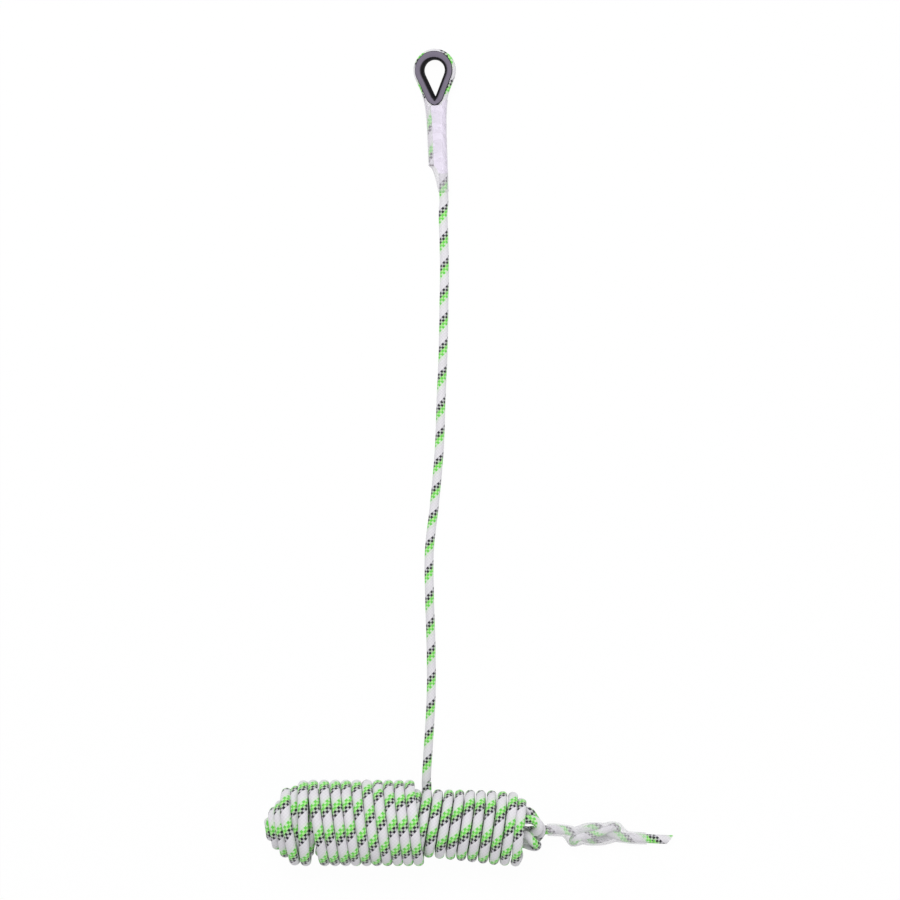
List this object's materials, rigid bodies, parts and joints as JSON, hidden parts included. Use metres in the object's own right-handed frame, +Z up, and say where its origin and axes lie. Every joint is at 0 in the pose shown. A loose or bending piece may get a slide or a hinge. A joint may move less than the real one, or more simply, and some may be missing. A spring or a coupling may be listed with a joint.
{
  "type": "rope anchor line",
  "caption": "Low-stretch rope anchor line with a sewn thimble eye, a straight run, a wound hank and a tail with a stopper knot under a clear sleeve.",
  "frame": {"origin": "middle of the outline, on the floor that the line lies on", "axes": "+Y up the line to the eye, +X towards the tail, +Z up from the floor"},
  "size_m": [0.5013, 1.0025, 0.0909],
  "materials": {
    "thimble": "moulded, satin",
    "eye_rope": "woven sheath, green and black flecks on white",
    "eye_label": "bare film",
    "eye_sleeve": "clear shrunk tube",
    "seam_top": "sewing thread",
    "seam_under": "sewing thread",
    "free_run": "woven sheath, green and black flecks on white",
    "outer_wraps": "woven sheath, green and black flecks on white",
    "hidden_wraps": "woven sheath, green and black flecks on white",
    "inner_wraps": "woven sheath, green and black flecks on white",
    "core_hank": "woven sheath, green and black flecks on white",
    "tail_rope": "woven sheath, green and black flecks on white",
    "tail_sleeve": "clear shrunk tube",
    "end_sheath": "woven sheath, green and black flecks on white",
    "core_cord_1": "twisted yarn",
    "core_cord_2": "twisted yarn",
    "core_cord_3": "twisted yarn",
    "core_cord_4": "twisted yarn",
    "core_cord_5": "twisted yarn",
    "core_cord_6": "twisted yarn",
    "core_cord_7": "twisted yarn"
  },
  "bodies": {
    "root": {"thimble": "thimble", "eye_rope": "eye_rope", "eye_label": "eye_label", "eye_sleeve": "eye_sleeve", "seam_top": "seam_top", "seam_under": "seam_under", "free_run": "free_run", "outer_wraps": "outer_wraps", "hidden_wraps": "hidden_wraps", "inner_wraps": "inner_wraps", "core_hank": "core_hank", "tail_rope": "tail_rope", "tail_sleeve": "tail_sleeve", "end_sheath": "end_sheath", "core_cord_1": "core_cord_1", "core_cord_2": "core_cord_2", "core_cord_3": "core_cord_3", "core_cord_4": "core_cord_4", "core_cord_5": "core_cord_5", "core_cord_6": "core_cord_6", "core_cord_7": "core_cord_7"}
  },
  "joints": []
}
